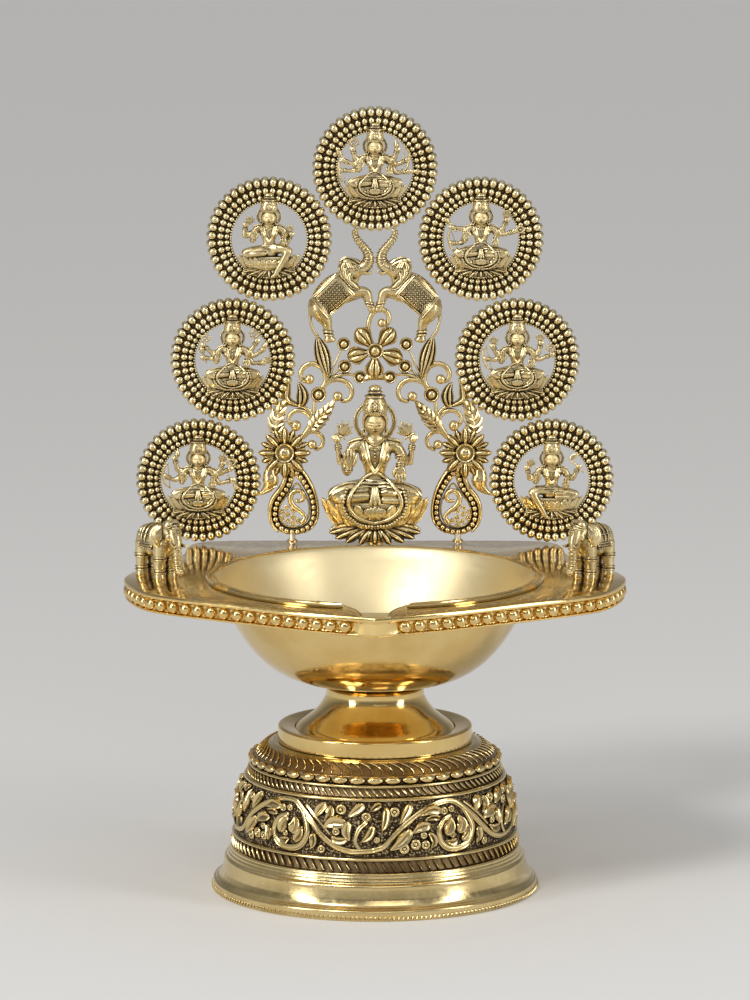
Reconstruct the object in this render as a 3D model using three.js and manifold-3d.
// A brass lakshmi oil lamp: a hollow chased pedestal, a waisted neck, an oil bowl let into a leaf-shaped
// tray, and an openwork screen of seven medallions round a seated figure. Millimetres, +Z up, front to -Y.
// The origin is on the table, under the axis of the pedestal and bowl.
import * as THREE from "three";
import { mergeVertices } from "three/addons/utils/BufferGeometryUtils.js";
import Module from "manifold-3d";

const wasm = await Module();
wasm.setup();

// Driving dimensions
const GAP = 0.3; // clearance left at every brazed or screwed seat
const ROUND = 32; // facets round the turned pieces
const FOOT_R = 76.2;
const FOOT_RIM_H = 3.8;
const SHOULDER_Z = 69;
const SHOULDER_R = 47;
const SHELL = 3; // wall of the pedestal casting
// The [radius, height] ground of the vine frieze round the pedestal, from its foot to its top
const FRIEZE_GROUND = [
  [64.9, 27.4],
  [64.2, 38],
  [62.8, 45],
  [60, 52.6],
];
const FRIEZE_Z = 27.5; // where its pattern starts
const FRIEZE_H = 25.6; // and how high it is
const FRIEZE_REPEATS = 5; // of the pattern, round the pedestal
const FRIEZE_START = -72.8; // degrees from the front to where one repeat begins
const FRIEZE_STEM_R = 1.3; // half thickness of the frieze's stems
const FRIEZE_LEAF_T = 2.1; // half thickness of its leaves
const FRIEZE_SINK = 0.25; // how deep the middle of a stem or leaf lies in the ground
// The frieze's lines as [share of a repeat, share of the height]
const FRIEZE_STEM = [
  [0, 0.13],
  [0.06, 0.2],
  [0.12, 0.4],
  [0.2, 0.62],
  [0.3, 0.8],
  [0.4, 0.9],
  [0.5, 0.91],
  [0.56, 0.8],
  [0.64, 0.58],
  [0.7, 0.38],
  [0.78, 0.2],
  [0.87, 0.11],
  [0.95, 0.11],
  [1.02, 0.15],
];
const FRIEZE_SPIRAL = [
  [0.56, 0.8],
  [0.61, 0.5],
  [0.61, 0.32],
  [0.57, 0.14],
  [0.5, 0.08],
  [0.43, 0.12],
  [0.39, 0.26],
  [0.385, 0.44],
  [0.42, 0.6],
  [0.47, 0.68],
  [0.52, 0.62],
];
// The frieze's leaves: where each is, how long and wide its halves are, and its tilt in degrees
const FRIEZE_LEAVES = [
  { at: [0.5, 0.38], half: [4.6, 2.6], tilt: 60 },
  { at: [0.23, 0.24], half: [4.8, 2.4], tilt: -10 },
  { at: [0.19, 0.83], half: [4.2, 1.8], tilt: -30 },
  { at: [0.7, 0.77], half: [3.6, 2.4], tilt: 35 },
  { at: [0.8, 0.5], half: [5, 2.4], tilt: -65 },
  { at: [0.92, 0.48], half: [3.6, 1.6], tilt: 50 },
];
const COLLAR_R = 45;
const COLLAR_TOP = 76.3;
const NECK_FOOT_R = 37;
const NECK_WAIST_R = 22.6;
const NECK_TOP = 95.6;
const STUD_R = 3;
const BOWL_R = 74.6; // where the bowl passes through the tray
const BOWL_WALL = 2.4;
const BOWL_FLOOR = 96;
const BOWL_RIM = 147;
const RIM_R = 78; // the rim that lies on the tray
const TRAY_TOP = 145;
const TRAY_T = 2.6;
const APRON_H = 9;
const APRON_T = 3;
// The right half of the tray's outline, from its pointed front to the middle of its back
const TRAY_HALF = [
  [0, -100.5],
  [30, -87],
  [60, -68.5],
  [103, -39],
  [116, -2],
  [103, 40],
  [91, 62],
  [89, 82],
  [84, 95],
  [66, 100],
  [0, 100.5],
];
const LIP_ROOT = { y: -66, half: 16 }; // the wick lip, where it leaves the bowl
const LIP_END = { y: -93, half: 7.6 };
const LIP_FLOOR = { root: 141.6, end: 144.7 };
const SCREEN_Y = 94; // middle plane of the screen
const RING_R = 29.8;
const RING_HOLE_R = 17.6;
const RING_FACETS = 24;
const RING_FRONT = 3.2; // how far the beaded rows stand out of the middle plane
const RING_BACK = 2.5;
const RING_PLACES = {
  lower_left: [-83.9, 175.1],
  middle_left: [-67.4, 232.9],
  upper_left: [-50, 290.6],
  top: [0, 324],
  upper_right: [50, 290.6],
  middle_right: [67.4, 232.9],
  lower_right: [83.9, 175.1],
};
const STEM_Y = SCREEN_Y + 0.7; // the stems run behind the flowers
const STEM_R = 1.3;
const FIGURE_Y = SCREEN_Y - 4; // the middle figure stands out of the screen
const FIGURE_Z = TRAY_TOP + 1.2;
const LOTUS_H = 20;
const HALO_Z = 203.8;
const SMALL_FIGURE = 0.51; // a medallion's figure against the middle one
const SCREEN_SCREW_XS = [-39.4, 0, 39.4];
const SCREEN_SCREW_Y = 93.4;
const SCREEN_SCREW_R = 1.5;
const WASHER_T = 0.8;
const ELEPHANT_PLACE = { x: 100.5, y: 3 };
const ELEPHANT_TURN = 38; // degrees from straight ahead, towards the bowl
const ELEPHANT_FOOT = { x: 3.4, y: -6 }; // the foot that the screw enters, before the turn
const ELEPHANT_SCREW_R = 1.2;

const brass = new THREE.MeshStandardMaterial({ color: 0xc9a24a, roughness: 0.25, metalness: 1 });
const antique = new THREE.MeshStandardMaterial({ color: 0xa98c4a, roughness: 0.4, metalness: 1 });
const steel = new THREE.MeshStandardMaterial({ color: 0x9a9a98, roughness: 0.4, metalness: 1 });

// Turns a closed geometry into a manifold solid, with its faces pointing out.
function solid(geometry) {
  const bare = geometry.index ? geometry.toNonIndexed() : geometry.clone();
  for (const name of Object.keys(bare.attributes)) if (name !== "position") bare.deleteAttribute(name);
  const merged = mergeVertices(bare, 1e-4);
  const kept = [];
  for (let i = 0; i < merged.index.count; i += 3) {
    const [a, b, c] = [0, 1, 2].map((k) => merged.index.getX(i + k));
    if (a !== b && b !== c && a !== c) kept.push(a, b, c);
  }
  const build = (triangles) =>
    new wasm.Manifold(
      new wasm.Mesh({
        numProp: 3,
        vertProperties: new Float32Array(merged.attributes.position.array),
        triVerts: new Uint32Array(triangles),
      }),
    );
  const made = build(kept);
  if (made.volume() >= 0) return made;
  const turned = [];
  for (let i = 0; i < kept.length; i += 3) turned.push(kept[i], kept[i + 2], kept[i + 1]);
  return build(turned);
}

function toGeometry(shape) {
  const mesh = shape.getMesh();
  return new THREE.BufferGeometry()
    .setAttribute("position", new THREE.BufferAttribute(new Float32Array(mesh.vertProperties), 3))
    .setIndex(new THREE.BufferAttribute(new Uint32Array(mesh.triVerts), 1));
}

const union = (shapes) => shapes.reduce((sum, next) => sum.add(next));

// A solid of revolution about Z, from [radius, height] points that start and end on the axis or close up.
function turned(points, facets = ROUND) {
  const profile = points.map(([r, z]) => new THREE.Vector2(Math.max(r, 0), z));
  return solid(new THREE.LatheGeometry(profile, facets).rotateX(Math.PI / 2));
}

// The same, closed on itself, for rings and shells that don't reach the axis.
const turnedRing = (points, facets = ROUND) => turned([...points, points[0]], facets);

const rod = (r, z0, z1, facets = 12) => turned([[0, z0], [r, z0], [r, z1], [0, z1]], facets);

// A ball stretched to half-sizes [x, y, z], turned by degrees about Y in the plane of the screen.
function ball([sx, sy, sz], [x, y, z], tilt = 0, around = 8, high = 5) {
  return solid(
    new THREE.SphereGeometry(1, around, high)
      .rotateX(Math.PI / 2)
      .scale(sx, sy, sz)
      .rotateY(THREE.MathUtils.degToRad(tilt))
      .translate(x, y, z),
  );
}

// A straight limb from one point to another, tapering from one radius to the next.
function limb(from, to, r0, r1 = r0, facets = 6) {
  const [a, b] = [new THREE.Vector3(...from), new THREE.Vector3(...to)];
  const along = b.clone().sub(a);
  const upright = new THREE.Vector3(0, 1, 0);
  const turn = new THREE.Quaternion().setFromUnitVectors(upright, along.clone().normalize());
  const place = a.clone().add(b).multiplyScalar(0.5);
  return solid(
    new THREE.CylinderGeometry(r1, r0, along.length(), facets)
      .applyQuaternion(turn)
      .translate(place.x, place.y, place.z),
  );
}

// A bar of round section along a smooth line through points.
function tube(points, r, steps, facets = 6) {
  const section = new THREE.Shape();
  for (let i = 0; i < facets; i++) {
    const a = (2 * Math.PI * i) / facets;
    const [u, v] = [r * Math.cos(a), r * Math.sin(a)];
    if (i === 0) section.moveTo(u, v);
    else section.lineTo(u, v);
  }
  const path = new THREE.CatmullRomCurve3(points.map((p) => new THREE.Vector3(...p)));
  return solid(new THREE.ExtrudeGeometry(section, { steps, extrudePath: path, bevelEnabled: false }));
}

// A flat plate in the plane of the screen, from [x, z] outlines, between two depths.
function screenPlate(outline, front, back, holes = []) {
  const flat = (points) => points.map(([x, z]) => new THREE.Vector2(x, z));
  const shape = new THREE.Shape(flat(outline));
  shape.holes = holes.map((hole) => new THREE.Path(flat(hole)));
  const plate = new THREE.ExtrudeGeometry(shape, { depth: back - front, bevelEnabled: false });
  return solid(plate.rotateX(Math.PI / 2).translate(0, back, 0));
}

// A line of [x, y] points moved sideways, to its left, by a distance.
function offsetLine(points, distance, closed) {
  const last = points.length - 1;
  const at = (i) => new THREE.Vector2(...points[(i + last + 1) % (last + 1)]);
  const side = (a, b) => new THREE.Vector2(a.y - b.y, b.x - a.x).normalize();
  return points.map((point, i) => {
    const before = i > 0 || closed ? side(at(i - 1), at(i)) : side(at(i), at(i + 1));
    const after = i < last || closed ? side(at(i), at(i + 1)) : before;
    const way = before.clone().add(after).normalize();
    return at(i).addScaledVector(way, distance / way.dot(before)).toArray();
  });
}

const mirrored = (shape) => shape.mirror([1, 0, 0]);

function part(name, shape, material) {
  const mesh = new THREE.Mesh(toGeometry(shape), material);
  mesh.name = name;
  return mesh;
}

// How far a point of the frieze, as [share of a repeat, share of the height], is turned from the front.
const friezeTurn = ([share]) => FRIEZE_START + (360 / FRIEZE_REPEATS) * share;

// The radius and height of a point of the frieze, sunk a little into its ground.
function friezeSeat([, rise]) {
  const z = FRIEZE_Z + FRIEZE_H * rise;
  const above = FRIEZE_GROUND.findIndex(([, height]) => height > z);
  const [[r0, z0], [r1, z1]] = FRIEZE_GROUND.slice(above - 1, above + 1);
  return [THREE.MathUtils.mapLinear(z, z0, z1, r0, r1) - FRIEZE_SINK, z];
}

// A stem of the frieze along a line of its points.
function friezeStem(line, steps) {
  const points = line.map((point) => {
    const [r, z] = friezeSeat(point);
    const turn = THREE.MathUtils.degToRad(friezeTurn(point));
    return [r * Math.sin(turn), -r * Math.cos(turn), z];
  });
  return tube(points, FRIEZE_STEM_R, steps, 4);
}

// A leaf of the frieze: a flat lobe laid on its ground.
function friezeLeaf({ at, half: [length, width], tilt }) {
  const [r, z] = friezeSeat(at);
  return ball([length, FRIEZE_LEAF_T, width], [0, -r, z], tilt, 6, 3).rotate([0, 0, friezeTurn(at)]);
}

// The pedestal: one hollow casting with a vine in relief round it, open underneath, whose top has a hole for
// the stud.
function pedestal() {
  const outside = [
    [FOOT_R, 0],
    [FOOT_R, FOOT_RIM_H],
    [73.4, 4.8],
    [71.6, 6.6],
    [69.9, 15.3],
    [67.6, 18.6],
    [66.4, 26],
    [66.6, 27],
    ...FRIEZE_GROUND,
    [60.4, 53.6],
    [58.2, 57.6],
    [57.4, 59.8],
    [57.6, 62.6],
    [55.2, 63.6],
    [50.4, 68.2],
    [SHOULDER_R, SHOULDER_Z],
    [STUD_R + GAP, SHOULDER_Z],
  ];
  const inside = [
    [STUD_R + GAP, SHOULDER_Z - SHELL],
    [SHOULDER_R - SHELL, SHOULDER_Z - SHELL],
    [50.4, 63.6],
    [53.8, 59.6],
    [59.4, 46],
    [61.6, 30],
    [63.4, 20],
    [68.6, 6],
    [FOOT_R - 4, 0],
  ];
  const repeat = union([
    friezeStem(FRIEZE_STEM, 14),
    friezeStem(FRIEZE_SPIRAL, 11),
    ...FRIEZE_LEAVES.map(friezeLeaf),
  ]);
  const turns = Array.from({ length: FRIEZE_REPEATS }, (_, i) => (360 / FRIEZE_REPEATS) * i);
  return union([turnedRing([...outside, ...inside]), ...turns.map((turn) => repeat.rotate([0, 0, turn]))]);
}

// The flat band that sits on the shoulder, round the foot of the neck.
const collarRing = () =>
  turnedRing([
    [COLLAR_R, SHOULDER_Z + GAP],
    [COLLAR_R, COLLAR_TOP],
    [COLLAR_R - 2, COLLAR_TOP + 0.4],
    [NECK_FOOT_R + GAP, COLLAR_TOP - 0.6],
    [NECK_FOOT_R + GAP, SHOULDER_Z + GAP],
  ]);

// The neck: a concave spool, bored for the stud, with its foot inside the collar.
function neck() {
  const foot = SHOULDER_Z + GAP;
  return turnedRing([
    [NECK_FOOT_R, foot],
    [NECK_FOOT_R, COLLAR_TOP - 1],
    [33, COLLAR_TOP + 2.4],
    [28, COLLAR_TOP + 6.4],
    [24.4, COLLAR_TOP + 11],
    [NECK_WAIST_R, COLLAR_TOP + 15.4],
    [23.6, NECK_TOP - GAP],
    [STUD_R + GAP, NECK_TOP - GAP],
    [STUD_R + GAP, foot],
  ]);
}

// The outside of the bowl, from the middle of its floor up to the tray.
function bowlLine() {
  const depth = TRAY_TOP - TRAY_T - GAP - BOWL_FLOOR;
  const curve = [0.02, 0.08, 0.2, 0.4, 0.68, 1].map((share) => [
    BOWL_R * Math.pow(share, 0.25),
    BOWL_FLOOR + share * depth,
  ]);
  return [[0, BOWL_FLOOR], [20, BOWL_FLOOR], ...curve];
}

// The oil bowl, with its rolled rim lying on the tray and an open wick lip to the front.
function bowl() {
  const outside = turned([
    ...bowlLine(),
    [BOWL_R, TRAY_TOP + GAP],
    [RIM_R, TRAY_TOP + GAP],
    [RIM_R - 0.6, BOWL_RIM],
    [0, BOWL_RIM],
  ]);
  const hollow = turned([
    ...offsetLine(bowlLine(), BOWL_WALL, false),
    [BOWL_R - 1.6, BOWL_RIM],
    [BOWL_R - 1.6, BOWL_RIM + 2],
    [0, BOWL_RIM + 2],
  ]);
  const channelUp = new THREE.Vector3(
    0,
    (LIP_FLOOR.end - LIP_FLOOR.root) / (LIP_ROOT.y - LIP_END.y),
    1,
  ).normalize();
  const channel = wickLip(-2.2, BOWL_FLOOR, BOWL_RIM + 2).trimByPlane(
    channelUp.toArray(),
    channelUp.dot(new THREE.Vector3(0, LIP_ROOT.y, LIP_FLOOR.root)),
  );
  const lip = wickLip(1, TRAY_TOP - TRAY_T - 3.4, BOWL_RIM);
  return outside.add(lip).subtract(hollow.add(channel));
}

// A wedge that runs from inside the bowl to the front tip, grown by a margin.
function wickLip(margin, low, high) {
  const [root, end] = [LIP_ROOT.half + margin, LIP_END.half + margin];
  const outline = new THREE.Shape([
    new THREE.Vector2(-root, LIP_ROOT.y),
    new THREE.Vector2(-end, LIP_END.y - margin),
    new THREE.Vector2(end, LIP_END.y - margin),
    new THREE.Vector2(root, LIP_ROOT.y),
  ]);
  const wedge = new THREE.ExtrudeGeometry(outline, { depth: high - low, bevelEnabled: false });
  return solid(wedge.translate(0, 0, low));
}

// The tray's outline, drawn in by an inset: two straight sides that meet in a point at the front, and
// rounded corners.
function trayOutline(inset) {
  const left = TRAY_HALF.slice(0, -1).reverse();
  const through = [...TRAY_HALF, ...left.map(([x, y]) => [-x, y])];
  const curve = new THREE.SplineCurve(through.map(([x, y]) => new THREE.Vector2(x, y)));
  const points = curve.getPoints(60).slice(0, -1);
  const drawnIn = offsetLine(points.map((p) => p.toArray()), inset, true);
  return new THREE.Shape(drawnIn.map(([x, y]) => new THREE.Vector2(x, y)));
}

function trayPlate(inset, low, high) {
  const plate = new THREE.ExtrudeGeometry(trayOutline(inset), { depth: high - low, bevelEnabled: false });
  return solid(plate.translate(0, 0, low));
}

// The tray, with its edge turned down, the bowl's opening and the holes for its screws.
function tray() {
  const skin = trayPlate(0, TRAY_TOP - APRON_H, TRAY_TOP);
  const under = trayPlate(APRON_T, TRAY_TOP - APRON_H - 1, TRAY_TOP - TRAY_T);
  const [low, high] = [TRAY_TOP - 20, TRAY_TOP + 5];
  const opening = rod(BOWL_R + GAP, low, high, ROUND);
  const lipSlot = wickLip(1 + GAP, low, high);
  const screenHoles = SCREEN_SCREW_XS.map((x) =>
    rod(SCREEN_SCREW_R + GAP, low, high, 8).translate([x, SCREEN_SCREW_Y, 0]),
  );
  const elephantHoles = [-1, 1].map((side) =>
    rod(ELEPHANT_SCREW_R + GAP, low, high, 8).translate(elephantFoot(side)),
  );
  return skin.subtract(union([under, opening, lipSlot, ...screenHoles, ...elephantHoles]));
}

// The foot of an elephant that its screw enters; side is -1 for the left elephant and 1 for the right.
function elephantFoot(side) {
  const foot = new THREE.Vector3(-side * ELEPHANT_FOOT.x, ELEPHANT_FOOT.y, 0);
  foot.applyAxisAngle(new THREE.Vector3(0, 0, 1), THREE.MathUtils.degToRad(-side * ELEPHANT_TURN));
  return foot.add(new THREE.Vector3(side * ELEPHANT_PLACE.x, ELEPHANT_PLACE.y, 0)).toArray();
}

// A small cast elephant that faces the front, standing at the origin.
function standingElephant() {
  const feet = [
    [-3.4, -6],
    [3.4, -6],
    [-3.4, 8],
    [3.4, 8],
  ];
  const legs = feet.map(([x, y]) => limb([x, y, 0], [x * 0.9, y, 15], 2.3, 2.7, 5));
  const ears = [-1, 1].map((side) => ball([1.4, 3.2, 4.4], [side * 5, -7, 21.4], -side * 14, 5, 3));
  const tusks = [-1, 1].map((side) => limb([side * 2.2, -12.4, 18], [side * 2.8, -17, 16], 0.9, 0.5, 3));
  return union([
    ball([6, 10.5, 7], [0, 1.5, 17.6], 0, 8, 6),
    ball([4.4, 5, 5.4], [0, -9, 23.2], 0, 8, 5),
    limb([0, -12, 22], [0, -15, 13], 2.6, 2, 5),
    limb([0, -15, 14], [0, -15.4, 6], 2.1, 1.5, 5),
    limb([0, -15.2, 7], [0, -18, 4.4], 1.6, 1.1, 4),
    limb([0, 11.2, 20], [0, 12.4, 9], 0.8, 0.7, 4),
    ...legs,
    ...ears,
    ...tusks,
  ]);
}

function placedElephant(side) {
  const bore = rod(ELEPHANT_SCREW_R + GAP, -1, 9, 8).translate([-side * ELEPHANT_FOOT.x, ELEPHANT_FOOT.y, 0]);
  return standingElephant()
    .subtract(bore)
    .rotate([0, 0, -side * ELEPHANT_TURN])
    .translate([side * ELEPHANT_PLACE.x, ELEPHANT_PLACE.y, TRAY_TOP + GAP]);
}

// A screw from under the tray, its six-sided head below and its shank going up to a height.
function screw([x, y], headR, headTop, shankR, shankTop) {
  const head = rod(headR, headTop - 2.2, headTop, 6);
  return head.add(rod(shankR, headTop - 1, shankTop, 8)).translate([x, y, 0]);
}

const washer = ([x, y], r, bore, low, high) =>
  rod(r, low, high, 12)
    .subtract(rod(bore, low - 1, high + 1, 8))
    .translate([x, y, 0]);

// Turns a solid of revolution so that its axis runs through the screen, and its foot faces the front.
const facingFront = (shape, [x, z], y = SCREEN_Y) => shape.rotate([-90, 0, 0]).translate([x, y, z]);

// One medallion: a ring with a domed face.
const medallion = (place) =>
  facingFront(
    turnedRing(
      [
        [RING_HOLE_R, RING_BACK],
        [RING_HOLE_R, -1.6],
        [21, -RING_FRONT + 0.4],
        [27.6, -RING_FRONT],
        [RING_R, -1.2],
        [RING_R, RING_BACK],
      ],
      RING_FACETS,
    ),
    place,
  );

// Cuts away what would run into the medallions.
const clearOfMedallions = (shape) =>
  shape.subtract(
    union(
      Object.values(RING_PLACES).map((place) =>
        facingFront(rod(RING_R + GAP, -20, 20, RING_FACETS), place),
      ),
    ),
  );

// A seated four-armed figure on a lotus, whose foot stands at the origin.
function seatedFigure() {
  const half = (side) => {
    const at = (x, y, z) => [side * x, y, z];
    return [
      limb(at(9, 1, 45.5), at(16, 2, 35.5), 2.3, 2, 4),
      limb(at(16, 2, 35.5), at(18.6, 1, 47), 2, 1.6, 4),
      limb(at(18.4, 1, 46), at(14.6, 1, 56), 1.2, 1, 4),
      ball([2.6, 1.6, 3], at(14.6, 1, 56), side * 30, 4, 3),
      limb(at(9.6, 0, 45.5), at(12.4, -1, 35), 2.6, 2.2, 5),
    ];
  };
  return union([
    ball([22.4, 6, 5.8], [0, -1, 22], 0, 8, 4),
    ball([9.4, 5, 9], [0, 0, 32], 0, 8, 4),
    ball([12, 4.6, 7.4], [0, 0, 42.5], 0, 8, 4),
    ball([5.2, 4.6, 6.4], [0, -0.6, 56.4], 0, 8, 5),
    limb([0, 0, 44], [0, 0, 53], 3.4, 3.2),
    limb([0, -0.4, 59], [0, 0, 69], 5, 4.6, 8),
    limb([0, 0, 69], [0, 0, 76], 4.4, 1.2, 6),
    ...half(-1),
    ...half(1),
    limb([-12.4, -1, 35], [-11.4, -3.6, 41], 2, 1.8, 4),
    limb([12.4, -1, 35], [11.4, -3.8, 30], 2, 1.8, 4),
  ]);
}

// The plainer figure of a medallion, to the same sizes.
function smallFigure() {
  const arms = [-1, 1].map((side) => limb([side * 6, 1, 46], [side * 18, 1, 42], 2.6, 2, 4));
  return union([
    ball([22.4, 6, 5.8], [0, -1, 22], 0, 6, 3),
    limb([0, 0, 22], [0, 0, 46], 8.4, 10.6, 6),
    ball([5.6, 5, 7], [0, -0.6, 55], 0, 6, 4),
    limb([0, 0, 58], [0, 0, 76], 5.6, 1.6, 6),
    limb([0, 0, 44], [0, 0, 52], 3.4, 3.2, 4),
    ...arms,
  ]);
}

// The lotus under a figure: a flared cup of petals over a skirt of leaves, on a short post.
function lotusSeat(around, high) {
  const cup = ball([25, 7.4, 12], [0, 0, LOTUS_H], 0, around, high).trimByPlane([0, 0, -1], -LOTUS_H);
  const skirt = ball([21.5, 6, 4.6], [0, 0, 5.4], 0, around, 3);
  return union([cup, skirt, limb([0, 0, 0], [0, 0, 9.4], 4.6, 4.6, around)]);
}

// A medallion's figure and its lotus in one casting, cut clear of its ring.
function medallionFigure([x, z]) {
  const ringFront = SCREEN_Y - RING_FRONT - GAP;
  const aroundHole = turnedRing(
    [
      [RING_HOLE_R - GAP, 0],
      [60, 0],
      [60, 20],
      [RING_HOLE_R - GAP, 20],
    ],
    RING_FACETS,
  );
  return smallFigure()
    .add(lotusSeat(6, 4))
    .scale([SMALL_FIGURE, SMALL_FIGURE * 1.1, SMALL_FIGURE])
    .translate([0, ringFront + 0.6, 0.6 - RING_HOLE_R])
    .subtract(facingFront(aroundHole, [0, 0], ringFront))
    .translate([x, 0, z]);
}

const goddess = () =>
  seatedFigure()
    .trimByPlane([0, 0, 1], LOTUS_H + GAP)
    .translate([0, FIGURE_Y, FIGURE_Z]);

// The middle figure's lotus, whose post is bored for the screw from below.
const goddessLotus = () =>
  lotusSeat(12, 6)
    .translate([0, FIGURE_Y, FIGURE_Z - 1.2 + GAP])
    .subtract(rod(SCREEN_SCREW_R + GAP, TRAY_TOP - 1, TRAY_TOP + 7, 8).translate([0, SCREEN_SCREW_Y, 0]));

// The halo: a flat ring behind the head, with the bar that carries it.
function halo() {
  const ring = turnedRing(
    [
      [8.4, 0],
      [10.2, 0],
      [10.2, 1.4],
      [8.4, 1.4],
    ],
    16,
  );
  const bar = solid(new THREE.BoxGeometry(18, 1.4, 2.4).translate(0, SCREEN_Y + 1.5, HALO_Z));
  return facingFront(ring, [0, HALO_Z], SCREEN_Y + 0.8).add(bar);
}

// A stem or scroll of round section through [x, z] points.
const stem = (points, r, steps, y = STEM_Y) => tube(points.map(([x, z]) => [x, y, z]), r, steps, 4);

// A rearing elephant in relief, for the left of the screen.
function rearingElephant() {
  const y = SCREEN_Y - 1;
  return union([
    ball([12, 3.8, 8.4], [-20.4, y, 262.6], -41, 8, 4),
    ball([6.4, 4, 5.6], [-10.6, y - 0.6, 276.6], 20, 8, 4),
    ball([3.4, 1.4, 4.6], [-12.4, y - 3.4, 270.6], 20, 5, 3),
    limb([-14, y, 271], [-13, y, 276], 4.4, 4, 5),
    stem([[-7, 274.4], [-2.8, 277.4], [-4.4, 285], [-8.4, 289.6], [-9, 296]], 1.7, 6, y),
    limb([-14, y, 267.4], [-5, y, 268], 3, 2.5, 5),
    limb([-5.6, y, 268.4], [-2, y, 259.2], 2.5, 1.5, 5),
    limb([-24, y, 258], [-22, y, 247.6], 4.2, 2.1, 5),
    limb([-22, y, 248.6], [-21.6, y, 242.4], 2.1, 2.4, 5),
    stem([[-29, 260], [-30.4, 252], [-28.6, 246.4]], 0.9, 3, y),
  ]);
}

// A leaf: half-length, half-width, place and tilt in degrees from upright.
function leaf(length, width, [x, z], tilt) {
  const outline = [[0, -length], [width, -length * 0.3], [width * 0.7, length * 0.5], [0, length]];
  const whole = [...outline, [-width * 0.7, length * 0.5], [-width, -length * 0.3]];
  const turn = THREE.MathUtils.degToRad(-tilt);
  const placed = whole.map(([u, v]) => [
    x + u * Math.cos(turn) - v * Math.sin(turn),
    z + u * Math.sin(turn) + v * Math.cos(turn),
  ]);
  return screenPlate(placed, STEM_Y - STEM_R, STEM_Y + STEM_R);
}

// A round button among the stems, such as a berry or the end of a scroll.
const knob = (place, r) => facingFront(rod(r, -STEM_R, STEM_R, 6), place, STEM_Y);

// The vine of the left half: a stem with scrolls, berries, a bud and leaves.
function vine() {
  const main = [[-36.6, 193.4], [-32, 197.6], [-29.6, 204.2], [-26.8, 215], [-21.4, 222.4], [-8, 225]];
  return union([
    stem(main, STEM_R, 7),
    stem([[-21.4, 222.4], [-18, 230], [-15.4, 238]], 0.9, 2),
    stem([[-23.6, 220.6], [-25.4, 228.4], [-30, 230.8], [-34.2, 228.2], [-34, 223.6]], 1.2, 5),
    stem([[-25, 218.6], [-21, 222.4], [-15.4, 222.2], [-11.8, 218], [-15, 213.8]], 1.2, 5),
    stem([[-31, 199], [-31, 204.8], [-35.2, 208], [-39.4, 206.4], [-39.4, 202.6]], 1.2, 5),
    stem([[-33.6, 196], [-29, 198.2], [-25.4, 196.2], [-25, 192.4], [-28.6, 190.4]], 1.1, 5),
    stem([[-29.4, 206], [-32.6, 209.6], [-37, 211.6]], 0.9, 2),
    stem([[-36, 197], [-39, 199], [-42.4, 199.6]], 1, 2),
    knob([-14.8, 240.4], 3.3),
    knob([-14.3, 230], 3.3),
    knob([-7.1, 224.8], 3),
    knob([-26.8, 216.4], 3.8),
    knob([-31.8, 223.2], 2.3),
    knob([-17.8, 215], 2.3),
    knob([-37.8, 201.4], 2.5),
    knob([-29.4, 191.6], 2.2),
    leaf(9.6, 3.4, [-24.6, 233], -14),
    leaf(6.6, 3, [-36.8, 216], -8),
    leaf(6.4, 2, [-40, 216.8], -18),
    leaf(9, 4, [-43.4, 206.6], 12),
    leaf(9.6, 3.2, [-25, 206], 38),
  ]);
}

// A drop shape: round below, and drawn out above to a point that leans to the left.
function dropOutline([x, z], halfWidth, halfHeight) {
  return Array.from({ length: 20 }, (_, i) => {
    const [across, up] = [Math.cos((Math.PI * i) / 10), Math.sin((Math.PI * i) / 10)];
    const rise = Math.max(0, up);
    const width = halfWidth * (1 - 0.42 * rise - 0.14 * up);
    return [x + width * across - 0.34 * halfWidth * rise * rise, z + halfHeight * up];
  });
}

// The peacock of the left half: a beaded drop for its body, a neck turned over to the left, and the foot
// that a screw enters.
function peacock() {
  const body = screenPlate(
    dropOutline([-39.4, 162.6], 11.2, 13.8),
    STEM_Y - STEM_R,
    STEM_Y + STEM_R,
    [dropOutline([-39.2, 162], 6.4, 8.6)],
  );
  const foot = rod(3.2, TRAY_TOP + GAP, TRAY_TOP + 7, 8);
  const bore = rod(SCREEN_SCREW_R + GAP, TRAY_TOP - 1, TRAY_TOP + 5, 8);
  return union([
    body,
    stem([[-41.6, 172], [-44, 178], [-46, 181], [-50.2, 179.4]], 1.3, 6),
    ball([3, STEM_R, 6.4], [-50.4, STEM_Y, 175], 18, 8, 5),
    limb([-51.4, STEM_Y, 172.4], [-53.6, STEM_Y, 168.2], 1.2, 0.5, 5),
    stem([[-36.4, 151.4], [-37.6, 158.6], [-41.6, 163], [-40.4, 167], [-36.4, 167]], 0.9, 8),
    foot.subtract(bore).translate([SCREEN_SCREW_XS[0], SCREEN_SCREW_Y, 0]),
  ]).subtract(bore.translate([SCREEN_SCREW_XS[0], SCREEN_SCREW_Y, 0]));
}

// A flower of pointed petals round a button, lying in front of the stems.
function flower([x, z], petals, reach, valley, core) {
  const back = STEM_Y - STEM_R - GAP;
  const reaches = [valley, reach * 0.78, reach, reach * 0.78];
  const outline = Array.from({ length: petals * 4 }, (_, i) => {
    const a = Math.PI / 2 + (2 * Math.PI * (i + 2)) / (petals * 4);
    return [x + reaches[i % 4] * Math.cos(a), z + reaches[i % 4] * Math.sin(a)];
  });
  const button = facingFront(turned([[0, -2], [core, -1.2], [core, 1], [0, 1]], 8), [x, z], back - 1.6);
  return screenPlate(outline, back - 1.8, back).add(button);
}

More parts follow.
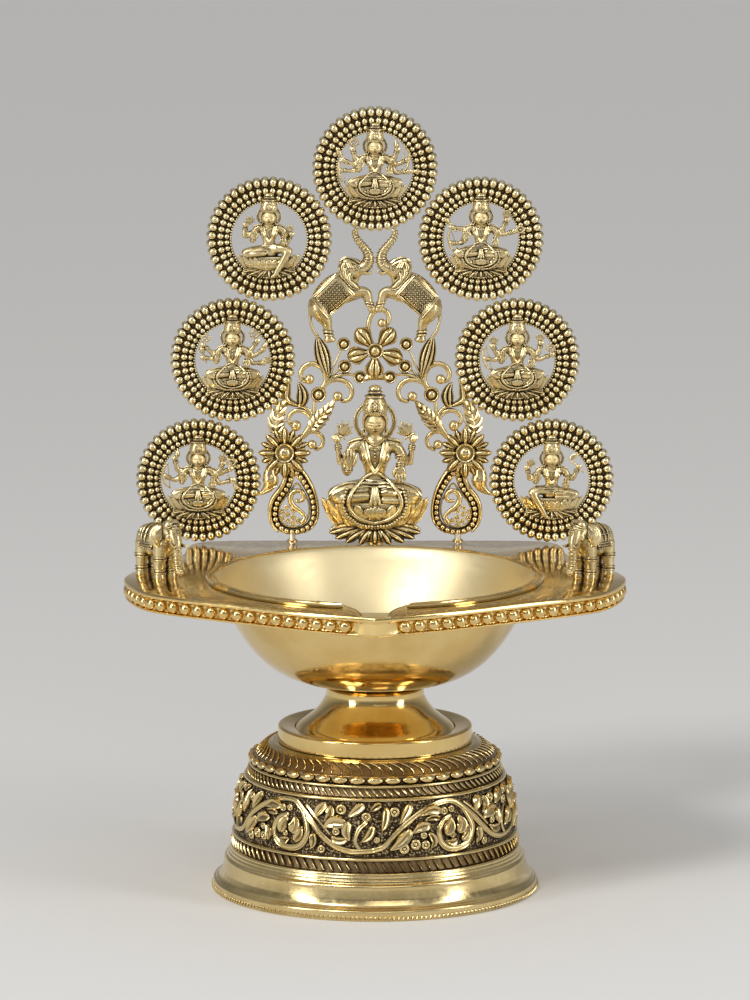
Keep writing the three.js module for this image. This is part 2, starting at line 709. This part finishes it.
// The curl between the middle flower and the rearing elephants' feet.
const curl = () =>
  stem([[-1.4, 241], [-1.8, 249], [0.6, 255], [4.6, 255.6], [6.6, 252.4], [4.4, 250.4]], STEM_R, 8)
    .add(stem([[-1.4, 243], [-1.4, 236]], STEM_R, 1))
    .add(knob([3.8, 251], 1.9));

const root = new THREE.Group();
const add = (name, shape, material) => root.add(part(name, shape, material));

add("pedestal", pedestal(), brass);
add("collar_ring", collarRing(), brass);
add("neck", neck(), brass);
add("oil_bowl", bowl(), brass);
add("tray", tray(), brass);

const shoulderUnder = SHOULDER_Z - SHELL - GAP;
add("bowl_stud", rod(STUD_R, SHOULDER_Z - 14, BOWL_FLOOR - GAP, 10), steel);
add("stud_washer", washer([0, 0], 9, STUD_R + GAP, shoulderUnder - 1.4, shoulderUnder), steel);
add(
  "stud_nut",
  rod(6, shoulderUnder - 6.7, shoulderUnder - 1.4 - GAP, 6).subtract(rod(STUD_R + GAP, 40, 80, 10)),
  steel,
);

const trayUnder = TRAY_TOP - TRAY_T - GAP;
for (const [hand, side] of [["left", -1], ["right", 1]]) {
  const handed = (shape) => (side < 0 ? shape : mirrored(shape));
  add(`elephant_${hand}`, placedElephant(side), antique);
  const elephantScrew = screw(elephantFoot(side), 2.6, trayUnder, ELEPHANT_SCREW_R, TRAY_TOP + 8);
  add(`elephant_screw_${hand}`, elephantScrew, steel);
  add(`rearing_elephant_${hand}`, handed(clearOfMedallions(rearingElephant())), antique);
  add(`vine_${hand}`, handed(clearOfMedallions(vine())), antique);
  add(`peacock_${hand}`, handed(clearOfMedallions(peacock())), antique);
  add(`daisy_${hand}`, clearOfMedallions(flower([side * 42.9, 188.6], 8, 13, 7, 4.6)), antique);
}
add("blossom", flower([0, 237.4], 5, 12, 6, 4), antique);
add("blossom_curl", curl(), antique);

for (const [name, place] of Object.entries(RING_PLACES)) {
  add(`medallion_${name}`, medallion(place), antique);
  add(`figure_${name}`, medallionFigure(place), antique);
}

add("goddess", goddess(), antique);
add("goddess_lotus", goddessLotus(), antique);
add("goddess_halo", halo(), antique);

SCREEN_SCREW_XS.forEach((x, i) => {
  const place = [x, SCREEN_SCREW_Y];
  const headTop = trayUnder - WASHER_T - GAP;
  add(`screen_screw_${i + 1}`, screw(place, 2.8, headTop, SCREEN_SCREW_R, TRAY_TOP + 4.4), steel);
  const flat = washer(place, 3.2, SCREEN_SCREW_R + GAP, trayUnder - WASHER_T, trayUnder);
  add(`screen_washer_${i + 1}`, flat, steel);
});

export default root;
